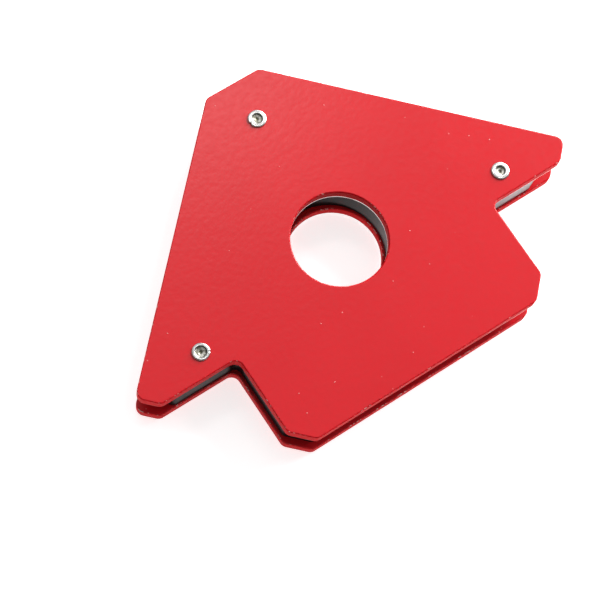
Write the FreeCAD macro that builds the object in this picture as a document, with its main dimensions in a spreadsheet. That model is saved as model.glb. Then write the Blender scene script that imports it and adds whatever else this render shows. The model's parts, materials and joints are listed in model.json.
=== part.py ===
import FreeCAD, Part
import math
import os

import Sketcher

# Arrow-shaped welding magnet: two steel pole plates riveted over a moulded core that holds four
# ferrite blocks.  The arrow's point, the apex, looks along +Y and its stem along -Y.  The origin is
# the centre of the hole, in the outer face of the back plate, and +Z leaves the front plate.
# Lengths are in millimetres.

DIMENSIONS = {
    # Arrow outline of the plates
    "overall_width": 122.0,
    "apex_height": 46.3,
    "apex_flat": 15.0,
    "tip_cut": 4.4,
    "stem_width": 72.0,
    "stem_end": 37.2,
    "stem_chamfer": 5.0,
    "corner_radius": 2.2,
    "arris_radius": 0.3,
    "hole_diameter": 23.3,
    # Layers
    "plate_thickness": 3.3,
    "core_thickness": 8.0,
    # How far the core stands back from the edges of the plates
    "core_apex_inset": 1.6,
    "core_leg_inset": 1.6,
    "core_end_inset": 5.1,
    "core_barb_inset": 0.4,
    "core_stem_inset": 1.8,
    "core_stem_end_inset": 1.6,
    "core_stem_chamfer": 5.0,
    "core_corner_radius": 1.6,
    "core_arris_radius": 0.3,
    "core_hole_diameter": 26.2,
    "core_rivet_hole": 6.0,
    # The core and its blocks lie this far off centre, in the play of the core's rivet holes
    "core_shift": 1.0,
    # Ferrite blocks, one on each side of the hole
    "magnet_length": 25.0,
    "magnet_width": 15.0,
    "magnet_offset": 23.4,
    "magnet_chamfer": 0.5,
    "pocket_clearance": 0.2,
    # Semi-tubular rivets: a flush head in the back plate, the end rolled over the front plate
    "rivet_apex_y": 35.5,
    "rivet_side_x": 42.5,
    "rivet_side_drop": 6.0,
    "rivet_hole": 3.3,
    "rivet_shank": 3.2,
    "rivet_head": 5.7,
    "rivet_bore": 2.5,
    "rivet_bore_depth": 1.0,
    "rivet_bore_cone": 0.5,
    "rivet_roll": 4.6,
    "rivet_roll_height": 0.45,
    "rivet_roll_radius": 0.36,
    "rivet_lip_radius": 0.2,
}

PLATE_OUTLINE = {
    "apex_half_flat": "dims.apex_flat / 2",
    "apex_height": "dims.apex_height",
    "barb_reach": "dims.overall_width / 2 - dims.tip_cut",
    "barb_drop": "dims.overall_width / 2 + dims.tip_cut - dims.apex_height - dims.apex_flat / 2",
    "stem_half_width": "dims.stem_width / 2",
    "stem_end": "dims.stem_end",
    "stem_chamfer": "dims.stem_chamfer",
}

CORE_OUTLINE = {
    "apex_half_flat": "dims.apex_flat / 2 + dims.core_apex_inset - dims.core_leg_inset * sqrt(2)",
    "apex_height": "dims.apex_height - dims.core_apex_inset",
    "barb_reach": PLATE_OUTLINE["barb_reach"] + " - dims.core_end_inset",
    "barb_drop": PLATE_OUTLINE["barb_drop"] + " - dims.core_barb_inset",
    "stem_half_width": "dims.stem_width / 2 - dims.core_stem_inset",
    "stem_end": "dims.stem_end - dims.core_stem_end_inset",
    "stem_chamfer": "dims.core_stem_chamfer",
}

# The right half of a rough arrow, from the apex round to the stem's end, for the sketch solver to
# start from.  Line number i of the outline leaves corner number i.
ROUGH_ARROW = [(8, 46), (61, -7), (56, -12), (36, -12), (36, -32), (31, -37)]
APEX, LEG_END, BARB, NOTCH, STEM_SIDE, STEM_END = range(len(ROUGH_ARROW))
SLOPES = {APEX: -45, LEG_END: -135, STEM_SIDE: -135}

STACK = "2 * dims.plate_thickness + dims.core_thickness"
ROLL_TOP = STACK + " + dims.rivet_roll_height"

# A rivet's half section, as radius and height: where the solver starts, and what drives each corner
ROUGH_RIVET = [(0, 0), (3, 0), (1.5, 1), (1.5, 14), (2, 14), (2, 15), (1, 15), (1, 13), (0, 12)]
RIVET_SECTION = [
    (None, None),
    ("dims.rivet_head / 2", None),
    ("dims.rivet_shank / 2", "(dims.rivet_head - dims.rivet_shank) / 2"),
    ("dims.rivet_shank / 2", STACK),
    ("dims.rivet_roll / 2", STACK),
    ("dims.rivet_roll / 2", ROLL_TOP),
    ("dims.rivet_bore / 2", ROLL_TOP),
    ("dims.rivet_bore / 2", ROLL_TOP + " - dims.rivet_bore_depth"),
    (None, ROLL_TOP + " - dims.rivet_bore_depth - dims.rivet_bore_cone"),
]

RIVET_PLACES = {
    "rivet_apex": ("0", "dims.rivet_apex_y"),
    "rivet_left": ("-dims.rivet_side_x", "-dims.rivet_side_drop"),
    "rivet_right": ("dims.rivet_side_x", "-dims.rivet_side_drop"),
}

# Each block's turn about the hole, in degrees, from the block at the apex
MAGNET_TURNS = {"magnet_apex": 0, "magnet_left": 90, "magnet_stem": 180, "magnet_right": 270}

# A rough block for the solver to start from: half its length, and its two ends' distances from the hole
ROUGH_HALF_LENGTH, ROUGH_NEAR, ROUGH_FAR = 12, 16, 31

Z_UP = FreeCAD.Vector(0, 0, 1)

# Sketcher's own numbers: the origin point, the two axes, and the places on a line or circle
ORIGIN = (-1, 1)
X_AXIS, Y_AXIS = -1, -2
START, FINISH, CENTRE = 1, 2, 3
EXACT = 1e-6


def add_sheet(document):
    sheet = document.addObject("Spreadsheet::Sheet", "dims")
    for row, (alias, size) in enumerate(DIMENSIONS.items(), start=1):
        sheet.set(f"A{row}", alias)
        sheet.set(f"B{row}", str(size))
        sheet.setAlias(f"B{row}", alias)
    document.recompute()


def add_body(document, label, height=None):
    """A body under its label; height is the expression of its own origin's height."""
    body = document.addObject("PartDesign::Body", label)
    body.Label = label
    if height:
        body.setExpression("Placement.Base.z", height)
    return body


def origin_item(body, role):
    return next(item for item in body.Origin.OriginFeatures if item.Role == role)


def add_sketch(body, name, plane="XY_Plane"):
    sketch = body.newObject("Sketcher::SketchObject", name)
    sketch.AttachmentSupport = [(origin_item(body, plane), "")]
    sketch.MapMode = "FlatFace"
    return sketch


def bind(sketch, constraint, expression):
    """Adds a dimension that the sheet drives."""
    index = sketch.addConstraint(constraint)
    sketch.setExpression(f"Constraints[{index}]", expression)


def draw_polygon(sketch, corners):
    """Lines through the corners, joined end to end; line number i leaves corner number i."""
    count = len(corners)
    points = [FreeCAD.Vector(x, y, 0) for x, y in corners]
    for index in range(count):
        sketch.addGeometry(Part.LineSegment(points[index], points[(index + 1) % count]), False)
    for index in range(count):
        joint = Sketcher.Constraint("Coincident", index, FINISH, (index + 1) % count, START)
        sketch.addConstraint(joint)


def draw_arrow(sketch, outline):
    """The arrow, symmetrical about the Y axis, with its seven dimensions bound to the outline's."""
    mirrored = [(-x, y) for x, y in reversed(ROUGH_ARROW)]
    draw_polygon(sketch, ROUGH_ARROW + mirrored)
    last = len(ROUGH_ARROW + mirrored) - 1
    for corner in range(len(ROUGH_ARROW)):
        pair = Sketcher.Constraint("Symmetric", corner, START, last - corner, START, Y_AXIS)
        sketch.addConstraint(pair)
    sketch.addConstraint(Sketcher.Constraint("Horizontal", BARB))
    sketch.addConstraint(Sketcher.Constraint("Vertical", NOTCH))
    for line, slope in SLOPES.items():
        sketch.addConstraint(Sketcher.Constraint("Angle", line, math.radians(slope)))
    for name, corner in (("apex_half_flat", APEX), ("barb_reach", BARB), ("stem_half_width", NOTCH)):
        rough = ROUGH_ARROW[corner][0]
        reach = Sketcher.Constraint("DistanceX", *ORIGIN, corner, START, rough)
        bind(sketch, reach, outline[name])
    rise = Sketcher.Constraint("DistanceY", *ORIGIN, APEX, START, ROUGH_ARROW[APEX][1])
    bind(sketch, rise, outline["apex_height"])
    for name, corner in (("barb_drop", BARB), ("stem_end", STEM_END)):
        rough = -ROUGH_ARROW[corner][1]
        drop = Sketcher.Constraint("DistanceY", corner, START, *ORIGIN, rough)
        bind(sketch, drop, outline[name])
    rough = ROUGH_ARROW[STEM_SIDE][0] - ROUGH_ARROW[STEM_END][0]
    chamfer = Sketcher.Constraint("DistanceX", STEM_END, START, STEM_SIDE, START, rough)
    bind(sketch, chamfer, outline["stem_chamfer"])


def draw_section(sketch, rough, corners):
    """A closed section whose corners are each bound to a distance from the axes, or lie on one."""
    draw_polygon(sketch, rough)
    for index, (radius, height) in enumerate(corners):
        if radius:
            across = Sketcher.Constraint("DistanceX", *ORIGIN, index, START, rough[index][0])
            bind(sketch, across, radius)
        else:
            sketch.addConstraint(Sketcher.Constraint("PointOnObject", index, START, Y_AXIS))
        if height:
            up = Sketcher.Constraint("DistanceY", *ORIGIN, index, START, rough[index][1])
            bind(sketch, up, height)
        else:
            sketch.addConstraint(Sketcher.Constraint("PointOnObject", index, START, X_AXIS))


def draw_centre_circle(sketch, diameter):
    circle = Part.Circle(FreeCAD.Vector(), Z_UP, DIMENSIONS["hole_diameter"] / 2)
    index = sketch.addGeometry(circle, False)
    sketch.addConstraint(Sketcher.Constraint("Coincident", index, CENTRE, *ORIGIN))
    bind(sketch, Sketcher.Constraint("Diameter", index, circle.Radius * 2), diameter)


def draw_rivet_circles(sketch, diameter):
    """Three equal circles at the rivets: one on the Y axis, two mirrored about it."""
    side_x, drop, up = (DIMENSIONS[name] for name in ("rivet_side_x", "rivet_side_drop", "rivet_apex_y"))
    radius = DIMENSIONS["rivet_hole"] / 2
    centres = [FreeCAD.Vector(0, up, 0), FreeCAD.Vector(-side_x, -drop, 0), FreeCAD.Vector(side_x, -drop, 0)]
    apex, left, right = (sketch.addGeometry(Part.Circle(centre, Z_UP, radius), False) for centre in centres)
    sketch.addConstraint(Sketcher.Constraint("PointOnObject", apex, CENTRE, Y_AXIS))
    sketch.addConstraint(Sketcher.Constraint("Symmetric", left, CENTRE, right, CENTRE, Y_AXIS))
    sketch.addConstraint(Sketcher.Constraint("Equal", apex, left))
    sketch.addConstraint(Sketcher.Constraint("Equal", apex, right))
    bind(sketch, Sketcher.Constraint("Diameter", apex, 2 * radius), diameter)
    bind(sketch, Sketcher.Constraint("DistanceY", *ORIGIN, apex, CENTRE, up), "dims.rivet_apex_y")
    bind(sketch, Sketcher.Constraint("DistanceX", *ORIGIN, right, CENTRE, side_x), "dims.rivet_side_x")
    bind(sketch, Sketcher.Constraint("DistanceY", right, CENTRE, *ORIGIN, drop), "dims.rivet_side_drop")


def draw_block(sketch, clearance):
    """A rectangle at the apex side of the hole: a ferrite block, or its pocket with the clearance."""
    half, near, far = ROUGH_HALF_LENGTH, ROUGH_NEAR, ROUGH_FAR
    draw_polygon(sketch, [(half, near), (half, far), (-half, far), (-half, near)])
    right, top, left, bottom = range(4)
    sketch.addConstraint(Sketcher.Constraint("Vertical", right))
    sketch.addConstraint(Sketcher.Constraint("Symmetric", right, START, bottom, START, Y_AXIS))
    sketch.addConstraint(Sketcher.Constraint("Symmetric", top, START, left, START, Y_AXIS))
    length = Sketcher.Constraint("DistanceX", left, FINISH, right, START, 2 * half)
    bind(sketch, length, f"dims.magnet_length + 2 * {clearance}")
    width = Sketcher.Constraint("DistanceY", right, START, right, FINISH, far - near)
    bind(sketch, width, f"dims.magnet_width + 2 * {clearance}")
    start = Sketcher.Constraint("DistanceY", *ORIGIN, right, START, near)
    bind(sketch, start, f"dims.magnet_offset - dims.magnet_width / 2 - {clearance}")


def pad(body, sketch, thickness):
    feature = body.newObject("PartDesign::Pad", "Pad")
    feature.Profile = sketch
    feature.setExpression("Length", thickness)
    sketch.Document.recompute()
    return feature


def cut_through(body, sketch, name):
    """Cuts the sketch up through the whole solid, and makes sure that it took something away."""
    before = body.Shape.Volume
    feature = body.newObject("PartDesign::Pocket", name)
    feature.Profile = sketch
    feature.Type = "ThroughAll"
    feature.Reversed = True
    sketch.Document.recompute()
    if feature.Shape.Volume > before - EXACT:
        raise RuntimeError(f"{body.Label}: {name} cuts nothing")
    return feature


def dress_edges(body, kind, name, wanted, size_property, size):
    """Rounds or chamfers the edges of the body's tip for which wanted(edge) is true."""
    base = body.Tip
    edges = [f"Edge{index}" for index, edge in enumerate(base.Shape.Edges, start=1) if wanted(edge)]
    feature = body.newObject(kind, name)
    feature.Base = (base, edges)
    feature.setExpression(size_property, size)
    body.Document.recompute()
    return feature


def fillet(body, name, wanted, radius):
    return dress_edges(body, "PartDesign::Fillet", name, wanted, "Radius", radius)


def chamfer(body, name, wanted, size):
    return dress_edges(body, "PartDesign::Chamfer", name, wanted, "Size", size)


def is_upright(edge):
    return edge.BoundBox.XLength < EXACT and edge.BoundBox.YLength < EXACT


def is_level(edge):
    return edge.BoundBox.ZLength < EXACT


def is_ring(edge, diameter, height):
    """True for a circular edge of this diameter at this height."""
    if not isinstance(edge.Curve, Part.Circle):
        return False
    right_size = abs(2 * edge.Curve.Radius - diameter) < EXACT
    return right_size and abs(edge.Curve.Center.z - height) < EXACT


def make_plate(document, label, height=None):
    """A steel pole plate with rounded corners and arrises, its hole and its rivet holes."""
    body = add_body(document, label, height)
    outline = add_sketch(body, "Outline")
    draw_arrow(outline, PLATE_OUTLINE)
    pad(body, outline, "dims.plate_thickness")
    fillet(body, "Corners", is_upright, "dims.corner_radius")
    hole = add_sketch(body, "HoleCircle")
    draw_centre_circle(hole, "dims.hole_diameter")
    cut_through(body, hole, "Hole")
    fillet(body, "Arrises", is_level, "dims.arris_radius")
    rivets = add_sketch(body, "RivetCircles")
    draw_rivet_circles(rivets, "dims.rivet_hole")
    cut_through(body, rivets, "RivetHoles")
    return body


def countersink(plate):
    """Opens the rivet holes of the back plate's outer face for the flush heads."""
    chamfer(plate, "Countersinks", lambda edge: is_ring(edge, DIMENSIONS["rivet_hole"], 0),
            "(dims.rivet_head - dims.rivet_hole) / 2")


def make_core(document):
    """The moulded core: an arrow frame with the hole, rivet holes and four pockets right through."""
    body = add_body(document, "core_frame", "dims.plate_thickness")
    body.setExpression("Placement.Base.x", "-dims.core_shift")
    outline = add_sketch(body, "Outline")
    draw_arrow(outline, CORE_OUTLINE)
    pad(body, outline, "dims.core_thickness")
    fillet(body, "Corners", is_upright, "dims.core_corner_radius")
    hole = add_sketch(body, "HoleCircle")
    draw_centre_circle(hole, "dims.core_hole_diameter")
    cut_through(body, hole, "Hole")
    fillet(body, "Arrises", is_level, "dims.core_arris_radius")
    rivets = add_sketch(body, "RivetCircles")
    draw_rivet_circles(rivets, "dims.core_rivet_hole")
    cut_through(body, rivets, "RivetHoles")
    pocket_outline = add_sketch(body, "PocketOutline")
    draw_block(pocket_outline, "dims.pocket_clearance")
    pocket = cut_through(body, pocket_outline, "MagnetPocket")
    pattern = body.newObject("PartDesign::PolarPattern", "MagnetPockets")
    pattern.Originals = [pocket]
    pattern.Axis = (origin_item(body, "Z_Axis"), [""])
    pattern.Angle = 360
    pattern.Occurrences = len(MAGNET_TURNS)
    body.Tip = pattern
    return body


def make_magnet(document, label, turn):
    body = add_body(document, label)
    body.Placement = FreeCAD.Placement(FreeCAD.Vector(), FreeCAD.Rotation(Z_UP, turn))
    body.setExpression("Placement.Base.x", "-dims.core_shift")
    body.setExpression("Placement.Base.z", "dims.plate_thickness")
    outline = add_sketch(body, "Outline")
    draw_block(outline, "0")
    pad(body, outline, "dims.core_thickness")
    chamfer(body, "Edges", lambda edge: True, "dims.magnet_chamfer")
    return body


def make_rivet(document, label, place):
    """A rivet from its flush head, up through the stack, to the rolled rim round its bore."""
    body = add_body(document, label)
    body.setExpression("Placement.Base.x", place[0])
    body.setExpression("Placement.Base.y", place[1])
    section = add_sketch(body, "Section", "XZ_Plane")
    draw_section(section, ROUGH_RIVET, RIVET_SECTION)
    turned = body.newObject("PartDesign::Revolution", "Turned")
    turned.Profile = section
    turned.ReferenceAxis = (section, ["V_Axis"])
    turned.Angle = 360
    document.recompute()
    top = turned.Shape.BoundBox.ZMax
    fillet(body, "Roll", lambda edge: is_ring(edge, DIMENSIONS["rivet_roll"], top),
           "dims.rivet_roll_radius")
    fillet(body, "Lip", lambda edge: is_ring(edge, DIMENSIONS["rivet_bore"], top),
           "dims.rivet_lip_radius")
    return body


def check(document, parts):
    for item in document.Objects:
        if "Invalid" in item.State or "Error" in item.State:
            raise RuntimeError(f"{item.Label} failed: {item.State}")
    for part in parts:
        shape = part.Shape
        if shape.isNull() or not shape.isValid() or len(shape.Solids) != 1:
            raise RuntimeError(f"{part.Label} isn't one valid solid")


def main():
    document = FreeCAD.newDocument("welding_magnet_holder")
    add_sheet(document)
    back_plate = make_plate(document, "back_plate")
    countersink(back_plate)
    front_plate = make_plate(document, "front_plate", "dims.plate_thickness + dims.core_thickness")
    parts = [front_plate, back_plate, make_core(document)]
    parts += [make_magnet(document, label, turn) for label, turn in MAGNET_TURNS.items()]
    parts += [make_rivet(document, label, place) for label, place in RIVET_PLACES.items()]
    document.recompute()
    check(document, parts)
    os.makedirs("parts", exist_ok=True)
    for part in parts:
        part.Shape.exportStep(f"parts/{part.Label}.step")
        box = part.Shape.BoundBox
        print(f"{part.Label}: {part.Shape.Volume:.1f} mm3, x {box.XMin:.2f} to {box.XMax:.2f}, "
              f"y {box.YMin:.2f} to {box.YMax:.2f}, z {box.ZMin:.2f} to {box.ZMax:.2f}")


main()
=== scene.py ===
import json
import math

import bmesh
import bpy
from mathutils import Matrix, Vector, noise


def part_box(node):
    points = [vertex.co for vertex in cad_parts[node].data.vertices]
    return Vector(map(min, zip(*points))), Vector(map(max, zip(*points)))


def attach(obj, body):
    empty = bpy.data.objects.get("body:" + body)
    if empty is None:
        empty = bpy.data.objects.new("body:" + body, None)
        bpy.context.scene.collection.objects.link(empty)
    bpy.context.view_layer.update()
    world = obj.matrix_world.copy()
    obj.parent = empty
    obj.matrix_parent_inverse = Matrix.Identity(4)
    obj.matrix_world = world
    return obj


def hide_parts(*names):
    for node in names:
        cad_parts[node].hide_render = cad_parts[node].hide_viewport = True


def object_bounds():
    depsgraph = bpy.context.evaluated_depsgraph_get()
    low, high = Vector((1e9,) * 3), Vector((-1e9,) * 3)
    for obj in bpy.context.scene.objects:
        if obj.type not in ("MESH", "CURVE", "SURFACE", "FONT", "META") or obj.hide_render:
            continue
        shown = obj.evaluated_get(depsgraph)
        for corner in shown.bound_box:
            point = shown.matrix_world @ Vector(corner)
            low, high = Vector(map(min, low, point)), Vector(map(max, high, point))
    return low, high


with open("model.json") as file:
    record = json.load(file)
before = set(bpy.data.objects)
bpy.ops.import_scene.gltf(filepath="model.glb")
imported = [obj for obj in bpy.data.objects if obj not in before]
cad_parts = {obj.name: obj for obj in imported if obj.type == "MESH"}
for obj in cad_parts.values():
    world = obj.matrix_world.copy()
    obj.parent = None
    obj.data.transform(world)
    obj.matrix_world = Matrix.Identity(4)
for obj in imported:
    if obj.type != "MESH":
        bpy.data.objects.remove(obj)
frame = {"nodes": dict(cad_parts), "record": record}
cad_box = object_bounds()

# Arrow-shaped welding magnet, lying on its back plate.  Lengths are in metres, in the CAD frame:
# the origin is the hole's centre in the back plate's outer face, +Y points to the apex and +Z out
# of the front plate.

MM = 0.001
TAU = 2 * math.pi

FRONT_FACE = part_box("front_plate")[1].z
PLATE_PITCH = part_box("front_plate")[0].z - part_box("back_plate")[0].z


# ---------------------------------------------------------------- shader nodes

def new_material(name, **sockets):
    """A material with one Principled shader, its even values set on the shader's own sockets."""
    material = bpy.data.materials.new(name)
    material.use_nodes = True
    shader = material.node_tree.nodes["Principled BSDF"]
    for socket, value in sockets.items():
        shader.inputs[socket.replace("_", " ")].default_value = value
    return material, material.node_tree, shader


def add_node(tree, kind, values=None, **settings):
    node = tree.nodes.new(kind)
    for name, value in settings.items():
        setattr(node, name, value)
    for socket, value in (values or {}).items():
        node.inputs[socket].default_value = value
    return node


def object_coordinates(tree):
    return add_node(tree, "ShaderNodeTexCoord").outputs["Object"]


def split_axes(tree, vector):
    """The vector's parts, as outputs "X", "Y" and "Z"."""
    node = add_node(tree, "ShaderNodeSeparateXYZ")
    tree.links.new(vector, node.inputs[0])
    return node.outputs


def noise_factor(tree, coordinates, size, detail=2, roughness=0.5):
    """Noise whose features are about this large, in metres."""
    node = add_node(tree, "ShaderNodeTexNoise",
                    {"Scale": 1 / size, "Detail": detail, "Roughness": roughness})
    tree.links.new(coordinates, node.inputs["Vector"])
    return node.outputs["Fac"]


def ramp(tree, factor, first, last, start=0.0, end=1.0):
    """Goes smoothly from start, where the factor is first, to end, where it is last.

    It holds those values beyond the two, and first may be the larger.
    """
    node = add_node(tree, "ShaderNodeMapRange", interpolation_type="SMOOTHSTEP")
    for socket, value in zip(("From Min", "From Max", "To Min", "To Max"),
                             (first, last, start, end)):
        node.inputs[socket].default_value = value
    tree.links.new(factor, node.inputs["Value"])
    return node.outputs["Result"]


def combine(tree, operation, *operands):
    """A Math node whose operands are numbers or the outputs of other nodes."""
    node = add_node(tree, "ShaderNodeMath", operation=operation)
    for socket, value in zip(node.inputs, operands):
        if isinstance(value, (int, float)):
            socket.default_value = value
        else:
            tree.links.new(value, socket)
    return node.outputs[0]


def multiply(tree, first, second):
    return combine(tree, "MULTIPLY", first, second)


def mix_colours(tree, factor, first, second):
    node = add_node(tree, "ShaderNodeMix", data_type="RGBA")
    tree.links.new(factor, node.inputs[0])
    for socket, value in ((node.inputs[6], first), (node.inputs[7], second)):
        if isinstance(value, tuple):
            socket.default_value = value
        else:
            tree.links.new(value, socket)
    return node.outputs[2]


def bump(tree, height, distance, strength, base=None):
    node = add_node(tree, "ShaderNodeBump", {"Strength": strength, "Distance": distance})
    tree.links.new(height, node.inputs["Height"])
    if base:
        tree.links.new(base, node.inputs["Normal"])
    return node.outputs["Normal"]


# ---------------------------------------------------------------- materials

# Colours are linear RGBA.  A ramp's numbers are those that ramp() takes: first and last, then start
# and end where they aren't 0 and 1.

# Painted highlight: the hairline is pale metal standing in for the bright reflections along the
# plates' lower arrises, stronger towards the right notch.
# The hairline's heights are above each plate's lower face, its reach is from the hole's axis, and
# X and Y are places in the CAD frame.
HOLE_LINE_HEIGHT = (0.68 * MM, 0.56 * MM)
HOLE_LINE_REACH = (13 * MM, 12.5 * MM)
NOTCH_LINE_HEIGHT = (0.52 * MM, 0.42 * MM)
NOTCH_LINE_X = (5 * MM, 42 * MM, 0.03, 0.9)
NOTCH_LINE_Y = (-7 * MM, -10 * MM, 0.1, 1.0)
LINE_BREAK_SIZE = 5 * MM
LINE_BREAKS = (0.32, 0.46, 0.75, 1.0)


def painted_highlight_line(tree, where):
    """Painted highlight: a pale metallic hairline low on the plates' edges, round the hole and by
    the right notch, where bright reflections run along the arrises."""
    place = split_axes(tree, where)
    height = combine(tree, "MODULO", place["Z"], PLATE_PITCH)
    across = multiply(tree, place["X"], place["X"])
    along = multiply(tree, place["Y"], place["Y"])
    reach = combine(tree, "SQRT", combine(tree, "ADD", across, along))
    round_hole = multiply(tree, ramp(tree, height, *HOLE_LINE_HEIGHT),
                          ramp(tree, reach, *HOLE_LINE_REACH))
    notch_side = multiply(tree, ramp(tree, place["X"], *NOTCH_LINE_X),
                          ramp(tree, place["Y"], *NOTCH_LINE_Y))
    by_notch = multiply(tree, ramp(tree, height, *NOTCH_LINE_HEIGHT), notch_side)
    breaks = noise_factor(tree, where, LINE_BREAK_SIZE, detail=3)
    return multiply(tree, combine(tree, "MAXIMUM", round_hole, by_notch),
                    ramp(tree, breaks, *LINE_BREAKS))


COAT_RED = (0.64, 0.0078, 0.0145, 1)
COAT_CLOUD_RED = (0.67, 0.0088, 0.0160, 1)
COAT_PEEL_RED = (0.58, 0.0065, 0.0120, 1)
# Painted shade: the plates' edges are given a deeper red than their faces.
COAT_SHADED_EDGE_RED = (0.66, 0.0030, 0.0060, 1)
COAT_SPECK = (0.85, 0.36, 0.33, 1)
COAT_CHIP = (0.78, 0.55, 0.50, 1)
# Painted highlight: the pale metal of the hairline.
HIGHLIGHT_PALE_METAL = (0.90, 0.86, 0.85, 1)
SHADED_EDGE_SHARE = 0.8
SPECK_SHARE = 0.5

COAT_CLOUD_SIZE = 22 * MM
COAT_PEEL_SIZE = 1.3 * MM
COAT_GRAIN_SIZE = 0.4 * MM
COAT_CLOUDS = (0.3, 0.7)
COAT_PEEL_SHADE = (0.3, 0.8, 0.0, 0.35)
COAT_ROUGHNESS = (0.2, 0.8, 0.22, 0.27)
HIGHLIGHT_GLOSS = 0.25

# A speck is a disc round a cell's point, its reach in cells, in the patches that have specks.
SPECK_CELL = 7 * MM
SPECK_REACH = (0.028, 0.012)
SPECK_PATCH_SIZE = 9 * MM
SPECK_PATCHES = (0.53, 0.64)
WORN_SIZE = 6 * MM
WORN = (0.48, 0.60)
CHIP_SIZE = 0.8 * MM
CHIPS = (0.53, 0.58)

PEEL_BUMP = (0.036 * MM, 0.7)
COAT_GRAIN_BUMP = (0.006 * MM, 0.6)
SPECK_BUMP = (0.05 * MM, 0.8)

# Ramps over how level the surface is: 1 on the plates' faces, 0 on their edges.
LEVEL_SPECKED = (0.95, 0.99)
LEVEL_HIGHLIGHT = (0.95, 0.80)
LEVEL_SHADED_EDGE = (0.75, 0.35)
LEVEL_ARRIS_LOW = (0.15, 0.55)
LEVEL_ARRIS_HIGH = (0.98, 0.85)
LEVEL_DULLNESS = (0.95, 0.60, 0.0, 0.22)
LEVEL_SPECULAR = (0.80, 0.98, 0.02, 0.5)


def powder_coat():
    """Red satin powder coat: fine orange peel, dust specks, duller edges painted a deeper red as
    painted shade, worn and chipped arrises, and a pale hairline that is a painted highlight."""
    material, tree, shader = new_material("powder_coat", IOR=1.5)
    where = object_coordinates(tree)
    normal = add_node(tree, "ShaderNodeNewGeometry").outputs["Normal"]
    level = combine(tree, "ABSOLUTE", split_axes(tree, normal)["Z"])
    arris = multiply(tree, ramp(tree, level, *LEVEL_ARRIS_LOW),
                     ramp(tree, level, *LEVEL_ARRIS_HIGH))
    hairline_highlight = multiply(tree, ramp(tree, level, *LEVEL_HIGHLIGHT), painted_highlight_line(tree, where))

    cloud = noise_factor(tree, where, COAT_CLOUD_SIZE, detail=3)
    peel = noise_factor(tree, where, COAT_PEEL_SIZE)
    grain = noise_factor(tree, where, COAT_GRAIN_SIZE)
    red = mix_colours(tree, ramp(tree, cloud, *COAT_CLOUDS), COAT_RED, COAT_CLOUD_RED)
    red = mix_colours(tree, ramp(tree, peel, *COAT_PEEL_SHADE), red, COAT_PEEL_RED)

    cells = add_node(tree, "ShaderNodeTexVoronoi", {"Scale": 1 / SPECK_CELL}, feature="F1",
                     voronoi_dimensions="2D")
    tree.links.new(where, cells.inputs["Vector"])
    speck = multiply(tree, ramp(tree, cells.outputs["Distance"], *SPECK_REACH),
                     ramp(tree, level, *LEVEL_SPECKED))
    patches = ramp(tree, noise_factor(tree, where, SPECK_PATCH_SIZE), *SPECK_PATCHES)
    speck = multiply(tree, speck, patches)
    red = mix_colours(tree, multiply(tree, speck, SPECK_SHARE), red, COAT_SPECK)

    worn = ramp(tree, noise_factor(tree, where, WORN_SIZE, detail=3), *WORN)
    chip = multiply(tree, worn, ramp(tree, noise_factor(tree, where, CHIP_SIZE, detail=3), *CHIPS))
    chip = multiply(tree, arris, chip)
    red = mix_colours(tree, chip, red, COAT_CHIP)
    # Painted shade: a deeper red on the plates' edges than on their faces.
    shaded_edge = ramp(tree, level, *LEVEL_SHADED_EDGE)
    red = mix_colours(tree, multiply(tree, shaded_edge, SHADED_EDGE_SHARE), red, COAT_SHADED_EDGE_RED)
    # Painted highlight: the hairline turns pale and metallic.
    red = mix_colours(tree, hairline_highlight, red, HIGHLIGHT_PALE_METAL)
    tree.links.new(red, shader.inputs["Base Color"])
    tree.links.new(hairline_highlight, shader.inputs["Metallic"])

    satin = ramp(tree, peel, *COAT_ROUGHNESS)
    dull = combine(tree, "SUBTRACT", ramp(tree, level, *LEVEL_DULLNESS),
                   multiply(tree, hairline_highlight, HIGHLIGHT_GLOSS))
    tree.links.new(combine(tree, "ADD", satin, dull), shader.inputs["Roughness"])
    tree.links.new(ramp(tree, level, *LEVEL_SPECULAR), shader.inputs["Specular IOR Level"])

    surface = bump(tree, peel, *PEEL_BUMP)
    surface = bump(tree, grain, *COAT_GRAIN_BUMP, surface)
    raised = combine(tree, "SUBTRACT", speck, chip)
    tree.links.new(bump(tree, raised, *SPECK_BUMP, surface), shader.inputs["Normal"])
    return material


CORE_BLACK = (0.0035, 0.0035, 0.0038, 1)
CORE_FLOW_BLACK = (0.011, 0.0105, 0.0105, 1)
CORE_FLOW_SIZE = 6 * MM
CORE_GRAIN_SIZE = 0.25 * MM
CORE_SPECULAR = (0, 48 * MM, 0.01, 0.5)      # along X, from the middle to the right barb
CORE_ROUGHNESS = (0.25, 0.75, 0.16, 0.26)
CORE_BUMP = (0.006 * MM, 0.6)


def core_plastic():
    """Black moulded plastic with faint flow marks, glossier towards the right barb."""
    material, tree, shader = new_material("core_plastic", Metallic=0.0, IOR=1.5)
    where = object_coordinates(tree)
    tree.links.new(ramp(tree, split_axes(tree, where)["X"], *CORE_SPECULAR),
                   shader.inputs["Specular IOR Level"])
    flow = noise_factor(tree, where, CORE_FLOW_SIZE, detail=4)
    grain = noise_factor(tree, where, CORE_GRAIN_SIZE, detail=3)
    tree.links.new(mix_colours(tree, flow, CORE_BLACK, CORE_FLOW_BLACK),
                   shader.inputs["Base Color"])
    tree.links.new(ramp(tree, flow, *CORE_ROUGHNESS), shader.inputs["Roughness"])
    tree.links.new(bump(tree, grain, *CORE_BUMP), shader.inputs["Normal"])
    return material


FERRITE_PIT = (0.022, 0.022, 0.024, 1)
FERRITE_GREY = (0.065, 0.064, 0.066, 1)
FERRITE_PIT_SIZE = 0.3 * MM
FERRITE_ROUGHNESS = (0.3, 0.7, 0.72, 0.55)
FERRITE_BUMP = (0.05 * MM, 0.8)


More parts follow.
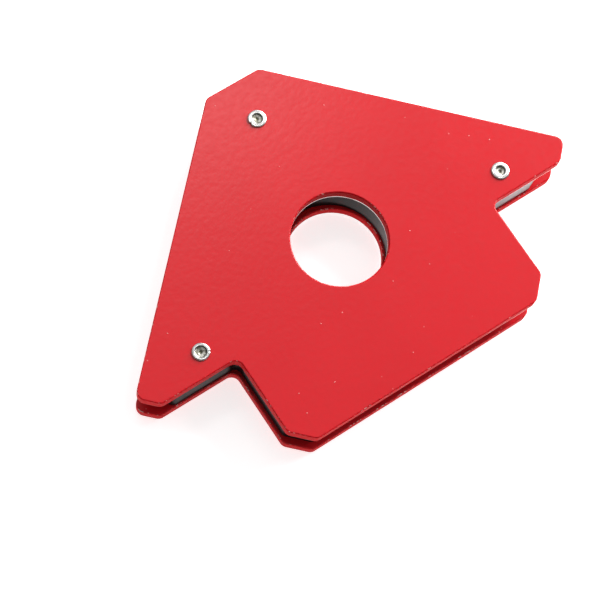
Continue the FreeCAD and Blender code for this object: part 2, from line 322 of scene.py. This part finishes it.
def ferrite():
    """Sintered ferrite: charcoal, matt and finely pitted."""
    material, tree, shader = new_material("ferrite", Metallic=0.0, IOR=1.5)
    pits = noise_factor(tree, object_coordinates(tree), FERRITE_PIT_SIZE, detail=6, roughness=0.7)
    tree.links.new(mix_colours(tree, pits, FERRITE_PIT, FERRITE_GREY),
                   shader.inputs["Base Color"])
    tree.links.new(ramp(tree, pits, *FERRITE_ROUGHNESS), shader.inputs["Roughness"])
    tree.links.new(bump(tree, pits, *FERRITE_BUMP), shader.inputs["Normal"])
    return material


RIVET_DULL = (0.72, 0.72, 0.69, 1)
RIVET_BRIGHT = (0.82, 0.82, 0.81, 1)
RIVET_SCUFF = (0.50, 0.49, 0.46, 1)
BORE_OLIVE = (0.26, 0.252, 0.20, 1)
BORE_PALE = (0.58, 0.57, 0.51, 1)
# Painted shade: the next two colours darken the bore's wall and the rolled rim's foot, and the
# dimple at the bore's bottom.
BORE_WALL_SHADE = (0.14, 0.138, 0.105, 1)
BORE_DIMPLE_SHADE = (0.16, 0.158, 0.10, 1)
RIVET_SCUFF_SIZE = 0.6 * MM
RIVET_FILM_SIZE = 1.6 * MM
BORE_BLOTCH_SIZE = 0.7 * MM
RIVET_FILM = (0.3, 0.7)
RIVET_SCUFFS = (0.60, 0.72, 0.0, 0.35)
BORE_BLOTCHES = (0.42, 0.58)
RIVET_ROUGHNESS = (0.3, 0.75, 0.26, 0.34)
BORE_DULLNESS = (0, 1, 0.0, 0.16)
RIVET_BUMP = (0.010 * MM, 0.35)

# Heights in the bore; the dark bands on the bore's wall and in its dimple are painted shade.
BORE_WALL_SHADE_HEIGHT = (FRONT_FACE - 0.08 * MM, FRONT_FACE - 0.02 * MM)
BORE_DIMPLE_SHADE_HEIGHT = (FRONT_FACE - 0.24 * MM, FRONT_FACE - 0.32 * MM)
BORE_MOUTH_HEIGHT = (FRONT_FACE + 0.24 * MM, FRONT_FACE + 0.14 * MM)
BORE_BOTTOM_HEIGHT = (FRONT_FACE - 4 * MM, FRONT_FACE - 3 * MM)


def rivet_metal():
    """Aluminium, bright where the tool rolled it and duller and a darker olive down in the bore,
    with painted shade on the bore's wall, at the rolled rim's foot and in the bore's dimple.
    """
    material, tree, shader = new_material("rivet_metal", Metallic=1.0)
    where = object_coordinates(tree)
    height = split_axes(tree, where)["Z"]
    scuffs = noise_factor(tree, where, RIVET_SCUFF_SIZE, detail=3)
    film = noise_factor(tree, where, RIVET_FILM_SIZE)
    metal = mix_colours(tree, ramp(tree, film, *RIVET_FILM), RIVET_DULL, RIVET_BRIGHT)
    metal = mix_colours(tree, ramp(tree, scuffs, *RIVET_SCUFFS), metal, RIVET_SCUFF)

    blotch = ramp(tree, noise_factor(tree, where, BORE_BLOTCH_SIZE), *BORE_BLOTCHES)
    olive_and_shade = mix_colours(tree, blotch, BORE_OLIVE, BORE_PALE)
    # Painted shade: dark on the bore's wall and the rim's foot, and in the bore's dimple.
    olive_and_shade = mix_colours(tree, ramp(tree, height, *BORE_WALL_SHADE_HEIGHT), olive_and_shade, BORE_WALL_SHADE)
    olive_and_shade = mix_colours(tree, ramp(tree, height, *BORE_DIMPLE_SHADE_HEIGHT), olive_and_shade, BORE_DIMPLE_SHADE)
    inside = multiply(tree, ramp(tree, height, *BORE_MOUTH_HEIGHT),
                      ramp(tree, height, *BORE_BOTTOM_HEIGHT))
    tree.links.new(mix_colours(tree, inside, metal, olive_and_shade), shader.inputs["Base Color"])

    polish = ramp(tree, scuffs, *RIVET_ROUGHNESS)
    tree.links.new(combine(tree, "ADD", polish, ramp(tree, inside, *BORE_DULLNESS)),
                   shader.inputs["Roughness"])
    tree.links.new(bump(tree, scuffs, *RIVET_BUMP), shader.inputs["Normal"])
    return material


FLOOR_HALF = 3.0
FLOOR_GLOW = 0.72
FLOOR_GREY = (0.86, 0.86, 0.86, 1)
FLOOR_PALE = (0.89, 0.89, 0.89, 1)
FLOOR_CLOUD_SIZE = 0.4


def floor_material():
    material, tree, shader = new_material("floor", Roughness=0.8, Emission_Color=(1, 1, 1, 1),
                                          Emission_Strength=FLOOR_GLOW)
    cloud = noise_factor(tree, object_coordinates(tree), FLOOR_CLOUD_SIZE)
    tree.links.new(mix_colours(tree, cloud, FLOOR_GREY, FLOOR_PALE), shader.inputs["Base Color"])
    return material


# ---------------------------------------------------------------- rivets

HEAD_RADIUS = 2.80 * MM
SHANK_RADIUS = 1.60 * MM
HEAD_DEPTH = 1.25 * MM
STEPS = 120

# The rim's own unevenness: how fast each noise changes round the rim, and its size.
LONG_WAVE, LONG_WAVE_SIZE = 1.6, 0.03 * MM
SHORT_WAVE, SHORT_WAVE_SIZE = 5, 0.010 * MM
DIP_SHARE = 0.4          # of the rim's unevenness that also raises or lowers it


def swell(angle, centre, width):
    """1 at the centre angle, falling smoothly to 0 one width away from it."""
    gap = abs((angle - centre + math.pi) % TAU - math.pi)
    return max(0.0, 1 - gap / width) ** 2


def rivet_profile(low, top, outer, step, bore, depth):
    """The rivet's half section, from the countersunk head's flat, up and round the rolled rim and
    down the bore: radius, height, share of the rim's unevenness, share of the bottom's lean."""
    return [
        (0.6 * HEAD_RADIUS, low + 0.02 * MM, 0, 0),
        (0.97 * HEAD_RADIUS, low + 0.02 * MM, 0.3, 0),
        (HEAD_RADIUS, low + 0.08 * MM, 0.3, 0),
        (SHANK_RADIUS, low + HEAD_DEPTH, 0, 0),
        (SHANK_RADIUS, FRONT_FACE - 0.1 * MM, 0, 0),
        (0.90 * outer, FRONT_FACE - 0.01 * MM, 0.6, 0),
        (0.975 * outer, FRONT_FACE + 0.05 * MM, 1, 0),
        (outer, FRONT_FACE + 0.15 * MM, 1, 0),
        (0.985 * outer, FRONT_FACE + 0.27 * MM, 1, 0),
        (0.93 * outer, FRONT_FACE + 0.38 * MM, 1, 0),
        (0.86 * outer, top - 0.015 * MM, 0.6, 0),
        (step + 0.12 * MM, top - 0.010 * MM, 0.3, 0),
        (step, top - 0.085 * MM, 0.2, 0),
        (step - 0.12 * MM, top - 0.020 * MM, 0.2, 0),
        (bore + 0.10 * MM, top - 0.035 * MM, 0.2, 0),
        (bore + 0.03 * MM, top - 0.07 * MM, 0.2, 0.05),
        (bore, top - 0.15 * MM, 0.3, 0.1),
        (bore - 0.04 * MM, top - 0.58 * depth, 0.2, 0.4),
        (bore - 0.14 * MM, top - 0.72 * depth, 0.1, 0.7),
        (0.74 * bore, top - 0.80 * depth, 0, 0.9),
        (0.50 * bore, top - 0.83 * depth, 0, 1),
        (0.33 * bore, top - 0.87 * depth, 0, 1),
        (0.22 * bore, top - 1.10 * depth, 0, 1),
    ]


def add_rivet(node, material, outer, step, bore, depth, lean, seed, nicks=(), burrs=()):
    """A semi-tubular rivet, turned point by point so that the rolled rim can be uneven.

    outer, step and bore are the radii of the rolled rim, of the tool's ring on it and of the bore,
    and depth sets how deep the bore is; lean moves the bore's bottom sideways; nicks and burrs are
    (angle, width, size) round the rim.
    """
    low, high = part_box(node)
    axis = (low + high) / 2
    top = high.z
    mesh = bmesh.new()
    rings = []
    for radius, height, uneven, leaning in rivet_profile(low.z, top, outer, step, bore, depth):
        ring = []
        for index in range(STEPS):
            angle = TAU * index / STEPS
            heading = Vector((math.cos(angle), math.sin(angle), 0))
            long_place = heading * LONG_WAVE + Vector((seed, height / MM, 0))
            short_place = heading * SHORT_WAVE + Vector((0, seed, height / MM))
            wave = noise.noise(long_place) * LONG_WAVE_SIZE
            wave += noise.noise(short_place) * SHORT_WAVE_SIZE
            for centre, width, size in nicks:
                wave -= swell(angle, centre, width) * size
            for centre, width, size in burrs:
                wave += swell(angle, centre, width) * size
            place = axis + heading * (radius + uneven * wave) + Vector((*lean, 0)) * leaning
            dip = DIP_SHARE * uneven * wave if height > FRONT_FACE else 0
            ring.append(mesh.verts.new((place.x, place.y, min(height + dip, top))))
        rings.append(ring)
    for ring, following in zip(rings, rings[1:]):
        for index in range(STEPS):
            after = (index + 1) % STEPS
            mesh.faces.new((ring[index], ring[after], following[after], following[index]))
    for ring, height in ((rings[0], low.z + 0.015 * MM), (rings[-1], top - 1.20 * depth)):
        centre = sum((vertex.co for vertex in ring), Vector()) / STEPS
        hub = mesh.verts.new((centre.x, centre.y, height))
        for index in range(STEPS):
            mesh.faces.new((ring[index], ring[(index + 1) % STEPS], hub))
    bmesh.ops.recalc_face_normals(mesh, faces=mesh.faces)
    for face in mesh.faces:
        face.smooth = True
    data = bpy.data.meshes.new(node + "_rolled")
    mesh.to_mesh(data)
    mesh.free()
    piece = bpy.data.objects.new(node + "_rolled", data)
    bpy.context.scene.collection.objects.link(piece)
    piece.data.materials.append(material)
    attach(piece, "root")
    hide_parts(node)


def add_rivets(material):
    """The three rivets, each with its own rim and bore as the photograph shows them."""
    add_rivet("rivet_apex", material,
              outer=2.27 * MM, step=1.76 * MM, bore=1.30 * MM, depth=0.70 * MM,
              lean=(0.05 * MM, 0.06 * MM), seed=3,
              nicks=((math.radians(188), 0.22, 0.28 * MM), (math.radians(96), 0.35, 0.05 * MM)))
    add_rivet("rivet_left", material,
              outer=2.16 * MM, step=1.70 * MM, bore=1.42 * MM, depth=0.74 * MM,
              lean=(-0.05 * MM, 0.08 * MM), seed=11,
              burrs=((math.radians(-20), 0.16, 0.14 * MM), (math.radians(-42), 0.12, 0.09 * MM)))
    add_rivet("rivet_right", material,
              outer=2.25 * MM, step=1.80 * MM, bore=1.22 * MM, depth=0.70 * MM,
              lean=(-0.08 * MM, 0.0), seed=23,
              nicks=((math.radians(205), 0.3, 0.06 * MM),))


# ---------------------------------------------------------------- carried-over CAD parts

def dress_cad_nodes(finishes):
    slots = {part["node"]: part["material_slot"] for part in frame["record"]["subparts"]}
    for name, node in frame["nodes"].items():
        for slot in node.material_slots:
            slot.material = finishes[slots[name]]


# ---------------------------------------------------------------- floor, light and camera

# The softboxes and the sky are fitted to how the photograph's front face is shaded.
SKY_BRIGHT_SIDE = (0.5, 0.6, 0.62)
SKY_STRENGTH = (-0.3, 0.9, 0.10, 0.50)

CAMERA_AZIMUTH = math.radians(-50.31)
CAMERA_ELEVATION = math.radians(71.50)
CAMERA_ROLL = math.radians(17.59)
CAMERA_DISTANCE = 0.4333
CAMERA_LENS = 112.4
CAMERA_SENSOR = 36.0
CAMERA_TARGET = Vector((-16.3 * MM, -7.6 * MM, FRONT_FACE))


def add_floor():
    half, low = FLOOR_HALF, cad_box[0].z
    mesh = bpy.data.meshes.new("floor")
    mesh.from_pydata([(-half, -half, low), (half, -half, low),
                      (half, half, low), (-half, half, low)], [], [(0, 1, 2, 3)])
    floor = bpy.data.objects.new("floor", mesh)
    bpy.context.scene.collection.objects.link(floor)
    floor.data.materials.append(floor_material())


def aim(thing, target, roll=0.0):
    """Points a light or camera at the target, then turns it about its own view."""
    look = (target - thing.location).to_track_quat("-Z", "Y").to_matrix()
    thing.rotation_euler = (look @ Matrix.Rotation(roll, 3, "Z")).to_euler()


def add_softbox(name, direction, distance, width, height, power):
    light = bpy.data.lights.new(name, "AREA")
    light.shape = "RECTANGLE"
    light.size = width
    light.size_y = height
    light.energy = power
    lamp = bpy.data.objects.new(name, light)
    target = Vector((0, 0, FRONT_FACE))
    lamp.location = target + Vector(direction).normalized() * distance
    bpy.context.scene.collection.objects.link(lamp)
    aim(lamp, target)


def add_studio():
    """A sky that is brighter on one side, and two softboxes."""
    world = bpy.data.worlds.new("studio")
    world.use_nodes = True
    sky = world.node_tree
    towards = add_node(sky, "ShaderNodeVectorMath", operation="DOT_PRODUCT")
    towards.inputs[1].default_value = Vector(SKY_BRIGHT_SIDE).normalized()
    sky.links.new(add_node(sky, "ShaderNodeTexCoord").outputs["Generated"], towards.inputs[0])
    sky.links.new(ramp(sky, towards.outputs["Value"], *SKY_STRENGTH),
                  sky.nodes["Background"].inputs["Strength"])
    sky.nodes["Background"].inputs["Color"].default_value = (1, 1, 1, 1)
    bpy.context.scene.world = world
    bpy.context.scene.view_settings.view_transform = "Standard"
    add_softbox("overhead", direction=(0.189, 0.461, 0.969), distance=1.0,
                width=0.354, height=0.113, power=0.683)
    add_softbox("side", direction=(1.013, 0.242, 0.557), distance=0.7,
                width=0.6, height=0.5, power=9.36)


def add_camera():
    """Above the stem's left side, looking down on the face, turned about its view."""
    level = math.cos(CAMERA_ELEVATION)
    away = Vector((math.sin(CAMERA_AZIMUTH) * level, -math.cos(CAMERA_AZIMUTH) * level,
                   math.sin(CAMERA_ELEVATION)))
    camera = bpy.data.objects.new("camera", bpy.data.cameras.new("camera"))
    camera.data.lens = CAMERA_LENS
    camera.data.sensor_width = CAMERA_SENSOR
    camera.data.clip_start = 0.01
    camera.location = CAMERA_TARGET + away * CAMERA_DISTANCE
    bpy.context.scene.collection.objects.link(camera)
    aim(camera, CAMERA_TARGET, CAMERA_ROLL)
    bpy.context.scene.camera = camera


def main():
    finishes = {"powder_coat": powder_coat(), "core_plastic": core_plastic(), "ferrite": ferrite(),
                "rivet_metal": rivet_metal()}
    dress_cad_nodes(finishes)
    add_rivets(finishes["rivet_metal"])
    add_floor()
    add_studio()
    add_camera()


main()
